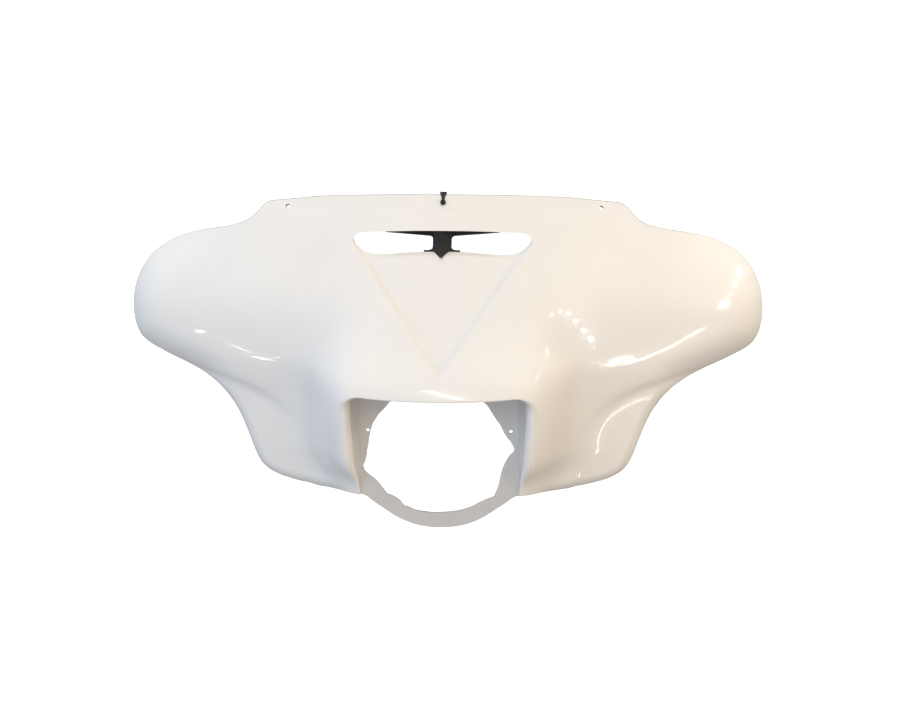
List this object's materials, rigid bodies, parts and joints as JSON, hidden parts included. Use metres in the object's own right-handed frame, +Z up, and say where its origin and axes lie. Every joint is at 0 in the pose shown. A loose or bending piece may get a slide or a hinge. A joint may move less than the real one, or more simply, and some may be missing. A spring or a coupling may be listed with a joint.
{
  "type": "motorcycle fairing",
  "caption": "White batwing outer fairing shell for a motorcycle, with swept wings, a recessed headlamp opening, a V ramp to a slotted vent and a windshield flange.",
  "frame": {"origin": "middle of the headlamp opening, on the front face of its plate", "axes": "+X to the right as seen from the front, +Z up, the nose faces -Y"},
  "size_m": [0.868, 0.2613, 0.4306],
  "materials": {
    "white_gloss": "gloss white paint, clear coat",
    "black_plastic": "satin moulded",
    "dark_screw": "black oxide",
    "spring_clip": "dark phosphate",
    "brass": "machined",
    "steel_screw": "zinc plated"
  },
  "bodies": {
    "root": {"fairing_shell": "white_gloss", "vent_divider": "black_plastic", "windshield_screw": "dark_screw", "windshield_clip": "spring_clip", "threaded_inserts": "brass", "divider_screws": "steel_screw"}
  },
  "joints": []
}
